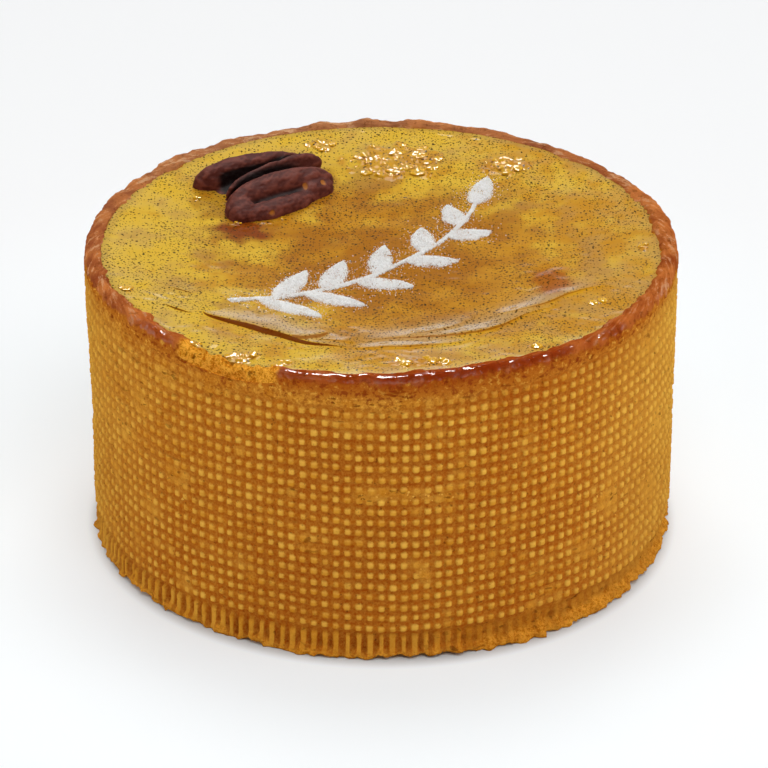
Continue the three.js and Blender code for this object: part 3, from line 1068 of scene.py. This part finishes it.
def settled_top(x, y, reach):
    """The plain dish: sunk in the middle, drawn up at the pastry, slumped where the rim broke."""
    plan = np.stack([x, y], -1)
    broken = crumbled(np.arctan2(y, x))
    waves = np.sin(x / 9 + 1) * np.cos(y / 11) + np.sin((x + y) / 17)
    z = CUSTARD_LEVEL - CUSTARD_DISH * (1 - reach ** 2)
    z += CUSTARD_SWELL * waves * (1 - reach ** 4)
    z += 0.08 * ripple(plan, 5, 61) + 0.04 * ripple(plan, 1.8, 62) * ease(ripple(plan, 9, 68), -0.8, 1.2)
    z += MENISCUS * np.exp(-(1 - reach) * CUP / MENISCUS_WIDE) * (1 - 0.8 * broken)
    z -= CUSTARD_SLUMP * broken * ease(reach, 0.93, 1.0)
    for bx, by, radius, height in BUBBLED:
        z += height * bell(np.hypot(x - bx, y - by), radius) * (1 - reach ** 8)
    return z


def custard_top(x, y):
    """Height of the top in millimetres, with the numbers that its finish reads."""
    plan = np.stack([x, y], -1)
    reach = np.hypot(x, y) / CUP
    z = settled_top(x, y, np.minimum(reach, 1.0))
    blister = bell(x - BLISTER_AT[0], BLISTER_WIDE) * bell(y - BLISTER_AT[1], BLISTER_LONG)
    z += BLISTER_HEIGHT * blister * (1 + 0.3 * ripple(plan, 3.0, 63))
    split_z, split_gap, split_half, split_slope = ridges(x, y, SPLITS)
    fold_z, fold_gap, fold_half, fold_slope = ridges(x, y, FOLDS)
    pool = glaze_pools(x, y)
    z += split_z + fold_z + POOL_RISE * pool + FROTH_RISE * pool * ripple(plan, 1.1, 65)
    along, across = along_and_across(x, y, NUT_AT, NUT_TURN)
    # A ring round the nut: raised a little, and darkened by the finish as painted shade and reflection
    nut_ring_shade = 1 - ease(np.hypot(along / NUT_RING_LONG, across / NUT_RING_WIDE) + 0.08 * ripple(plan, 3, 67), 0.85, 1.35)
    z += NUT_RING_RISE * nut_ring_shade
    # Where the finish paints the nut's shadow and dark reflection in front of it
    shadow_reach = np.hypot((x - NUT_SHADOW_AT[0]) / NUT_SHADOW_LONG, (y - NUT_SHADOW_AT[1]) / NUT_SHADOW_WIDE)
    nut_shadow = bell(shadow_reach + 0.2 * ripple(plan, 3, 69), 1.0)
    values = {"nut_ring_shade": nut_ring_shade, "nut_shadow": nut_shadow, "warm": ease(x - 0.6 * y, -30, 40), "reach": reach, "pool": pool,
              "split_gap": split_gap, "split_half": split_half, "fold_gap": fold_gap, "fold_half": fold_half,
              "slope": np.maximum(split_slope, fold_slope), "scorch": blister}
    return z, values


top_sample, _ = custard_top(np.array([0.0, 50.0]), np.array([0.0, 0.0]))
print("custard top at the middle and near the side, mm:", np.round(top_sample, 2))

# %% [markdown]
# Custard
#
# The top needs fine, even quads for the splits and folds. A square grid bent into a disc gives them: each
# square ring of the grid becomes a circle, so the outer edge is a clean circle and the middle has no pole.
# A short skirt and a floor close the solid inside the cup. The edge reaches just into the pastry.

# %% Custard
CUSTARD_GRID = 289
CUSTARD_RADIUS = CUP + 1.5
CUSTARD_FLOOR = BASE + 0.3


def disc_grid(count, radius):
    """A square grid of points bent into a disc."""
    a, b = np.meshgrid(np.linspace(-1, 1, count), np.linspace(-1, 1, count), indexing="xy")
    wide = np.abs(a) >= np.abs(b)
    safe_a, safe_b = np.where(a == 0, 1, a), np.where(b == 0, 1, b)
    far = np.where(wide, a, b)
    turn = np.where(wide, math.pi / 4 * b / safe_a, math.pi / 2 - math.pi / 4 * a / safe_b)
    return radius * far * np.cos(turn), radius * far * np.sin(turn)


def custard_filling():
    x, y = disc_grid(CUSTARD_GRID, CUSTARD_RADIUS)
    z, values = custard_top(x, y)
    index = np.arange(CUSTARD_GRID ** 2).reshape(CUSTARD_GRID, CUSTARD_GRID)
    quads = np.stack([index[:-1, :-1], index[:-1, 1:], index[1:, 1:], index[1:, :-1]], -1).reshape(-1, 4)
    edge = np.concatenate([index[0, :-1], index[:-1, -1], index[-1, :0:-1], index[:0:-1, 0]])
    top = np.stack([x, y, z], -1).reshape(-1, 3)
    skirt = top[edge] * [1, 1, 0] + [0, 0, CUSTARD_FLOOR]
    points = np.vstack([top, skirt, [[0, 0, CUSTARD_FLOOR]]])
    low = len(top) + np.arange(len(edge))
    sides = np.stack([low, np.roll(low, -1), np.roll(edge, -1), edge], -1)
    faces = quads.tolist() + sides.tolist() + cap_faces(low, len(points) - 1, upward=False)
    below = (0, len(points) - len(top))
    carried = {key: np.pad(numbers.ravel(), below, constant_values=numbers.flat[0])
               for key, numbers in values.items()}
    return mesh_piece("custard_filling", points, faces, carried)


custard = custard_filling()
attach(custard, "root")
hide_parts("custard")
print("custard:", triangles(custard), "triangles")

# %% [markdown]
# Finish of the custard
#
# Egg custard is a warm yellow that browns where the oven reached it, full of tiny dark vanilla seeds. A
# clear glaze lies over it. The glaze is a coat on the shader, so the seeds and the browning stay under the
# shine. Some light is painted into the colour: pale patches of painted sheen, a painted reflection on the
# slopes behind the folds, and the nut's painted shadow and dark reflection round it and in front of it.
# Seeds are cells of a Voronoi texture: a dot in the middle of each cell that a random draw keeps.

# %% Finish of the custard
CUSTARD_YELLOW = paint(219, 176, 50)
CUSTARD_AMBER = paint(197, 137, 26)
CUSTARD_BROWN = paint(154, 86, 4)
# Painted reflection: the beige-grey veil of the glaze on the slopes behind the folds
FOLD_PAINTED_VEIL = paint(186, 152, 106)
SPLIT_DARK = paint(104, 42, 4)
FOLD_BROWN = paint(140, 76, 10)
POOL_AMBER = paint(196, 124, 0)
EDGE_GREY = paint(166, 132, 66)
# Painted sheen: pale patches of reflection in the glaze
CUSTARD_PAINTED_SHEEN = paint(212, 186, 116)
SCORCH = paint(154, 66, 16)
# Colour of the nut's painted shadow and dark reflection
NUT_SHADOW_BROWN = paint(130, 56, 10)
SEED = paint(56, 42, 14)
# Two sizes of seed: spacing and size in millimetres, and the share of cells that keep theirs
LARGE_SEEDS = (0.95, 0.21, 0.95)
SMALL_SEEDS = (0.65, 0.15, 0.7)
SEED_WANDER = 0.6
SEED_EDGE = 0.11


def vanilla_seeds(finish, spacing, size, kept):
    """A mask of seeds, 1 on a seed, bent out of their grid by noise."""
    waves = {"Vector": finish.place(), "Scale": 1.2, "Detail": 1.0}
    wander = finish.node("ShaderNodeTexNoise", None, waves, out="Color")
    shift = finish.vector("SCALE", {0: wander, "Scale": SEED_WANDER})
    cells = {"Vector": finish.vector("ADD", {0: finish.place(), 1: shift}), "Scale": 1 / spacing}
    away = finish.node("ShaderNodeTexVoronoi", {"voronoi_dimensions": "2D"}, cells, out="Distance")
    dye = finish.node("ShaderNodeTexVoronoi", {"voronoi_dimensions": "2D"}, cells, out="Color")
    luck = finish.node("ShaderNodeSeparateColor", None, {0: dye})
    chance = luck < kept * (0.45 + 0.8 * finish.noise(7, 2).ease(0.3, 0.7))
    reach = size / spacing * (0.6 + 0.8 * (luck * 37.0).fraction())
    return (reach - away).ease(0.0, SEED_EDGE / spacing) * chance


def inside_face(finish, name):
    """How far inside the steep face of a split or fold a point lies, in millimetres."""
    return finish.value(name + "_half") - abs(finish.value(name + "_gap"))


def glazed_custard():
    finish = Finish("glazed custard", {"Coat Roughness": 0.03, "Coat IOR": 1.34, "Roughness": 0.6,
                                       "Specular IOR Level": 0.0, "Subsurface Weight": 0.1,
                                       "Subsurface Scale": 0.002, "Subsurface Radius": (1.0, 0.6, 0.25)})
    reach = finish.value("reach")
    scorch = finish.value("scorch")
    blotch = finish.noise(9, 4, 0.6)
    fine = finish.noise(1.6, 3)
    mottle = finish.noise(3, 3, 0.6)
    baked = 1.1 * blotch + 0.7 * mottle + 0.3 * fine - 0.45 * reach + 0.3 * (finish.value("warm") - 0.5)
    # Painted sheen in pale patches, more of them towards the edge
    sheen_patches = (finish.noise(5, 4, 0.6) + 0.25 * reach).ease(0.62, 0.86) * reach.ease(0.35, 0.9)
    edge = (reach + 0.03 * (mottle - 0.5) + 0.03 * (fine - 0.5)).ease(0.984, 1.012)
    nut_shadow = (finish.value("nut_shadow") + 0.5 * (mottle - 0.5)).ease(0.2, 0.8)
    burnt = (scorch + 0.6 * (finish.noise(1.8, 3) - 0.5)).ease(0.3, 0.85)
    seeds = vanilla_seeds(finish, *LARGE_SEEDS) + 0.95 * vanilla_seeds(finish, *SMALL_SEEDS)
    fold, split = inside_face(finish, "fold"), inside_face(finish, "split")
    colour = finish.over(
        CUSTARD_YELLOW,
        (baked.ease(0.5, 0.9), CUSTARD_AMBER),
        ((finish.noise(5, 3) - 0.32 * reach).ease(0.2, 0.5) * 0.68, CUSTARD_BROWN),
        # Painted reflection on the slopes behind the folds and splits
        (finish.value("slope") * (0.6 + 0.5 * mottle), FOLD_PAINTED_VEIL),
        (sheen_patches * 0.26, CUSTARD_PAINTED_SHEEN),
        (edge * 0.35, EDGE_GREY),
        (finish.value("pool") * 0.5, POOL_AMBER),
        # Painted shade and dark reflection of the nut on the ring round it
        (finish.value("nut_ring_shade").ease(0.1, 0.8) * 0.5, FOLD_BROWN),
        # Painted shadow and dark reflection of the nut in front of it
        (nut_shadow * 0.95, NUT_SHADOW_BROWN),
        (burnt * 0.7, SCORCH),
        (seeds.ease(0.0, 1.0) * 0.95, SEED),
        (fold.ease(0.0, 0.25) * 0.8, FOLD_BROWN),
        (split.ease(0.0, 0.25) * 0.95, SPLIT_DARK))
    dull = (fold + 0.6).ease(0.0, 0.4) + (split + 0.4).ease(0.0, 0.4) + 0.7 * scorch
    finish.surface(Base_Color=colour, Coat_Weight=1 - 0.95 * dull.ease(0.0, 1.0),
                   Normal=finish.bump(finish.noise(2.4, 2), 0.10, 0.35))
    return finish.material


dress(custard, glazed_custard())

# %% [markdown]
# Glaze bubbles
#
# Where the glaze pooled it caught air. The bubbles are clear domes of a millimetre or so; they show as a
# bright spot each, because a dome always has one place that mirrors the lamp. They are spherical caps,
# joined into one mesh and sunk a little into the custard.

# %% Glaze bubbles
BUBBLE_SIZE = (0.5, 1.3)
BUBBLE_RISE = 0.34
BUBBLE_SUNK = 0.06
CAP_ROWS, CAP_SIDES = 8, 24


def bubble_cap():
    """Points and faces of half a ball with a flat underside."""
    tilt = np.linspace(0, math.pi / 2, CAP_ROWS + 1)[1:, None]
    turn = np.linspace(0, TURN, CAP_SIDES, endpoint=False)[None, :]
    dome = np.broadcast_arrays(np.sin(tilt) * np.cos(turn), np.sin(tilt) * np.sin(turn), np.cos(tilt))
    points = np.vstack([[[0, 0, 1]], np.stack(dome, -1).reshape(-1, 3), [[0, 0, 0]]])
    last = len(points) - 1
    faces = [face[::-1] for face in tube_faces(CAP_ROWS, CAP_SIDES, 1)]
    faces += cap_faces(np.arange(1, 1 + CAP_SIDES), 0, upward=True)
    faces += cap_faces(np.arange(last - CAP_SIDES, last), last, upward=False)
    return points, faces


def glaze_bubbles():
    draw = np.random.default_rng(66)
    x, y, size = [], [], []
    for px, py, long, wide, count in POOLS:
        turn, far = draw.uniform(0, TURN, count), 0.9 * np.sqrt(draw.uniform(0, 1, count))
        x.append(px + long * far * np.cos(turn))
        y.append(py + wide * far * np.sin(turn))
        size.append(min(1.0, wide) * draw.uniform(*BUBBLE_SIZE, count))
    x, y, size = np.concatenate(x), np.concatenate(y), np.concatenate(size)
    cap, faces = bubble_cap()
    stretch = np.stack([size * draw.uniform(0.8, 1.3, len(size)), size, BUBBLE_RISE * size], -1)
    base = np.stack([x, y, custard_top(x, y)[0] - BUBBLE_SUNK], -1)
    points = base[:, None, :] + cap[None] * stretch[:, None, :]
    points = points + (0.2 * size[:, None] * ripple(points, 0.7, 67))[..., None] * cap[None]
    joined = [[corner + len(cap) * k for corner in face] for k in range(len(size)) for face in faces]
    return mesh_piece("glaze_bubbles", points.reshape(-1, 3), joined)


bubbles = glaze_bubbles()
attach(bubbles, "root")
print("glaze bubbles:", triangles(bubbles), "triangles")

# %% [markdown]
# Finish of the glaze bubbles
#
# Glaze this thick is amber. A full, smooth coat on the shader gives each dome its wet skin.

# %% Finish of the glaze bubbles
def clear_glaze():
    finish = Finish("clear glaze", {"Roughness": 0.4, "Specular IOR Level": 0.0, "Coat Weight": 1.0,
                                    "Coat Roughness": 0.02, "Coat IOR": 1.5})
    finish.surface(Base_Color=finish.mix(finish.noise(3, 2), paint(206, 146, 10), paint(226, 174, 30)))
    return finish.material


dress(bubbles, clear_glaze())

# %% [markdown]
# Icing sugar
#
# A sprig of leaves is sifted on through a stencil. Icing sugar is a fine powder that clings in tiny
# clumps, so it is made of many small grains laid on the custard's own height: dense inside each leaf,
# thinning out at the edges where the sieve missed. All grains are one joined mesh from arrays.

# %% Icing sugar
SPRIG_STEM = [(-30, -21), (-14, -15), (6, 0), (19, 24)]
STEM_STEPS = 60
STEM_WIDE = 0.6
SPRIG_PAIRS = 5
FIRST_PAIR, PAIR_STEP = 8, 10
LEAF_SPREAD = math.radians(48)
LEAF_LONG = 14.5
LEAF_WIDE = 3.2
# The rectangle over which sugar is sifted, how many grains are tried, and how many lie there in the end
SIFT_X, SIFT_Y = (-40, 34), (-34, 38)
SIFTED = 900000
GRAINS = 48000
GRAIN_SIZE = (0.08, 0.17)
SUGAR_THICK = 0.40
STRAY = 1.6


def heading(start, end):
    return math.atan2(end[1] - start[1], end[0] - start[0])


def sprig_leaves():
    """Foot, direction and length of each leaf along the stem."""
    stem = smooth_path(SPRIG_STEM, STEM_STEPS)
    leaves = []
    for k in range(SPRIG_PAIRS):
        at = FIRST_PAIR + k * PAIR_STEP
        way = heading(stem[at - 2], stem[at + 2])
        long = LEAF_LONG * (1 - 0.09 * k)
        for side in (-1, 1):
            leaves.append((stem[at + 2 + 2 * side], way + side * LEAF_SPREAD, long))
    leaves.append((stem[-1], heading(stem[-4], stem[-1]), 0.8 * LEAF_LONG))
    return leaves


def sugar_cover(x, y):
    """How thickly sugar lies, 0 to 1."""
    gap, share = from_path(x, y, SPRIG_STEM)
    cover = 1 - ease(np.abs(gap) / (STEM_WIDE * (1.3 - 0.6 * share)), 0.6, 1.3)
    for foot_of_leaf, way, long in sprig_leaves():
        along, across = along_and_across(x, y, foot_of_leaf, way)
        u = along / long
        wide = LEAF_WIDE * np.sqrt(np.clip(u, 0, 1)) * np.clip(1 - u, 0, 1) ** 0.7 * 1.9
        inside = 1 - ease(np.abs(across) / np.maximum(wide, 0.01), 0.5, 1.1)
        cover = np.maximum(cover, np.where((u > 0) & (u < 1), inside, 0.0))
    return cover


def joined_grains(centres, sizes, corners, sides, draw):
    """One mesh of many small lumps, each a copy of one shape, stretched and turned at random."""
    axes, _ = np.linalg.qr(draw.normal(size=(len(centres), 3, 3)))
    axes = axes * np.sign(np.linalg.det(axes))[:, None, None]
    stretch = sizes[:, None, None] * draw.uniform(0.55, 1.35, (len(centres), len(corners), 1))
    points = centres[:, None, :] + np.einsum("nij,kj->nki", axes, corners) * stretch
    faces = sides[None] + len(corners) * np.arange(len(centres))[:, None, None]
    return points.reshape(-1, 3), faces.reshape(-1, 3)


def icing_sugar():
    draw = np.random.default_rng(71)
    x, y = draw.uniform(*SIFT_X, SIFTED), draw.uniform(*SIFT_Y, SIFTED)
    cover = sugar_cover(x, y)
    patchy = np.clip(0.8 + 0.3 * ripple(np.stack([x, y], -1), 3.0, 72), 0.25, 1.0)
    stray = sugar_cover(x + draw.normal(0, STRAY, SIFTED), y + draw.normal(0, STRAY, SIFTED))
    keep = draw.uniform(0, 1, SIFTED) < np.maximum(cover * patchy, 0.06 * stray)
    x, y, cover = x[keep][:GRAINS], y[keep][:GRAINS], cover[keep][:GRAINS]
    size = draw.uniform(*GRAIN_SIZE, len(x))
    z = custard_top(x, y)[0] + draw.uniform(0.0, SUGAR_THICK, len(x)) * cover + 0.3 * size
    corners = np.array([[1, 1, 1], [1, -1, -1], [-1, 1, -1], [-1, -1, 1]]) / math.sqrt(3)
    sides = np.array([[0, 1, 2], [0, 3, 1], [0, 2, 3], [1, 3, 2]])
    points, faces = joined_grains(np.stack([x, y, z], -1), size, corners, sides, draw)
    return mesh_piece("icing_sugar", points, faces, smooth=False)


sugar = icing_sugar()
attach(sugar, "root")
print("icing sugar:", triangles(sugar), "triangles")

# %% [markdown]
# Finish of the icing sugar
#
# Sugar is white and quite matt. The grains themselves scatter the light, so the colour hardly varies.

# %% Finish of the icing sugar
def powder():
    finish = Finish("icing sugar", {"Roughness": 0.9, "Specular IOR Level": 0.2})
    colour = finish.mix(finish.noise(0.6, 2).ease(0.3, 0.7), paint(250, 249, 247), paint(254, 254, 253))
    finish.surface(Base_Color=colour)
    return finish.material


dress(sugar, powder())

# %% [markdown]
# Crumbs
#
# Shortcrust sheds. A few crumbs cling where the side was scuffed, and some strays lie round the back. Each
# is a small lumpy grain, pressed half into the pastry.

# %% Crumbs
# Places with crumbs: angle, height, spread along and up, how many, and their size
CRUMBS = [(-88, 37, 5, 0.9, 26, 0.26), (-80, 36, 3, 0.7, 12, 0.24), (-82, 19, 0.8, 1.6, 8, 0.26),
          (-41, 24, 3, 2.0, 14, 0.24), (60, 30, 90, 20, 20, 0.24)]
CRUMB_INSET = 0.45


def pastry_crumbs():
    draw = np.random.default_rng(81)
    angle, height, size = [], [], []
    for place, level, spread, tall, count, large in CRUMBS:
        angle.append(np.radians(draw.normal(place, spread, count)))
        height.append(draw.normal(level, tall, count))
        size.append(large * draw.uniform(0.5, 1.5, count))
    angle, height, size = np.concatenate(angle), np.concatenate(height), np.concatenate(size)
    centres = round_flan(angle, np.clip(height, 0.8, crest(angle) - 0.3), RADIUS - CRUMB_INSET)
    shape = bmesh.new()
    bmesh.ops.create_icosphere(shape, subdivisions=1, radius=1.0)
    corners = np.array([corner.co for corner in shape.verts])
    sides = np.array([[corner.index for corner in face.verts] for face in shape.faces])
    shape.free()
    points, faces = joined_grains(centres, size, corners, sides, draw)
    return mesh_piece("crumbs", points, faces)


crumbs = pastry_crumbs()
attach(crumbs, "root")
print("crumbs:", triangles(crumbs), "triangles")

# %% [markdown]
# Finish of the crumbs
#
# Crumbs show the inside of the crust: dry, matt, and between ochre and red-brown.

# %% Finish of the crumbs
def crumb_finish():
    finish = Finish("pastry crumb", {"Roughness": 0.85, "Specular IOR Level": 0.12})
    colour = finish.mix(finish.noise(1.2, 3).ease(0.35, 0.65), paint(200, 120, 26), paint(234, 178, 74))
    finish.surface(Base_Color=colour, Normal=finish.bump(finish.noise(0.25, 3), 0.08, 0.5))
    return finish.material


dress(crumbs, crumb_finish())

# %% [markdown]
# Table and light
#
# The flan stands on a pale table in soft studio light, with a bright paper sweep behind it. The table
# glows faintly. Its glow is cut out close to the foot, a little further at the front, as a painted contact
# shadow, and near the flan it is cooler, a painted light against the warm light that the pastry throws on
# the table. Four soft boxes light the flan from the front, above and both sides. Three of them are kept out
# of reflections, because their mirror images would wash out the glazed top. A fifth lamp does the opposite:
# it shows only in reflections, and light linking keeps it to the pastry, the pecan and the bubbles, where it
# puts the sharp glints.

# %% Table and light
TABLE_HALF = 4.0
# How far towards the front the painted contact shadow is shifted, in millimetres
SHADOW_BACK = 2.6
LAMPS_AIM = Vector((0, 0, 0.04))


def table():
    corners = [(-1, -1), (1, -1), (1, 1), (-1, 1)]
    points = [(x * TABLE_HALF / MM, y * TABLE_HALF / MM, 0.0) for x, y in corners]
    top = mesh_piece("table", points, [(0, 1, 2, 3)], smooth=False)
    finish = Finish("light table", {"Roughness": 0.7, "Specular IOR Level": 0.0,
                                    "Base Color": paint(205, 209, 211), "Emission Strength": 0.4})
    # Distance from a point a little in front of the middle, where the painted contact shadow is centred
    spot = finish.vector("ADD", {0: finish.place(), 1: (0.0, SHADOW_BACK, 0.0)})
    out = finish.vector("LENGTH", {0: spot}, out="Value")
    # Painted light: the glow is cooler close to the flan, against the warm light the pastry throws on the
    # table
    glow = finish.mix(out.ease(RADIUS + 15, RADIUS + 120), paint(242, 248, 251), paint(232, 226, 224))
    # Painted contact shadow: no glow close to the foot
    finish.surface(Emission_Color=finish.mix(out.ease(RADIUS - 2.5, RADIUS + 2), paint(0, 0, 0), glow))
    dress(top, finish.material)


def sky(low, high):
    """A world like a studio: a bright paper sweep behind, up to a low height, and a dim room elsewhere."""
    world = bpy.data.worlds.new("studio")
    bpy.context.scene.world = world
    world.use_nodes = True
    graph = Graph(world.node_tree)
    way = {0: graph.node("ShaderNodeTexCoord", out="Generated")}
    up = graph.node("ShaderNodeSeparateXYZ", None, way, out="Z")
    back = graph.node("ShaderNodeSeparateXYZ", None, way, out="Y")
    sweep = low + (high - low) * up.ease(0.08, 0.34)
    room = 0.45 + 0.55 * back.ease(-0.6, 0.2)
    background = world.node_tree.nodes["Background"]
    graph.feed(background.inputs["Color"], (1.0, 1.0, 1.0, 1.0))
    graph.feed(background.inputs["Strength"], sweep * room)


def lamp(name, place, size, power, deep=None):
    """A soft box that faces the flan."""
    light = bpy.data.lights.new(name, "AREA")
    light.shape = "RECTANGLE"
    light.size = size
    light.size_y = deep or size
    light.energy = power
    holder = bpy.data.objects.new(name, light)
    holder.location = place
    bpy.context.scene.collection.objects.link(holder)
    holder.rotation_euler = (holder.location - LAMPS_AIM).to_track_quat("Z", "Y").to_euler()
    return holder


table()
sky(1.1, 0.24)
front_box = lamp("front_box", (0.2, -0.65, 1.15), 0.8, 7.1)
lamp("top_box", (0.0, 0.5, 1.15), 0.6, 5.6)
left_box = lamp("left_box", (-0.9, -0.2, 0.45), 0.6, 2.5)
right_box = lamp("right_box", (0.9, -0.2, 0.5), 0.6, 2.7)
for box in (front_box, left_box, right_box):
    box.visible_glossy = False

glint_lamp = lamp("glint_lamp", (0.05, 0.16, 1.1), 1.0, 56.0, 0.36)
glint_lamp.visible_diffuse = False
glinting = bpy.data.collections.new("glinting")
for piece in (pastry, pecan, bubbles):
    glinting.objects.link(piece)
glint_lamp.light_linking.receiver_collection = glinting
bpy.context.scene.view_settings.view_transform = "Standard"
print("table, sky and five lamps placed")
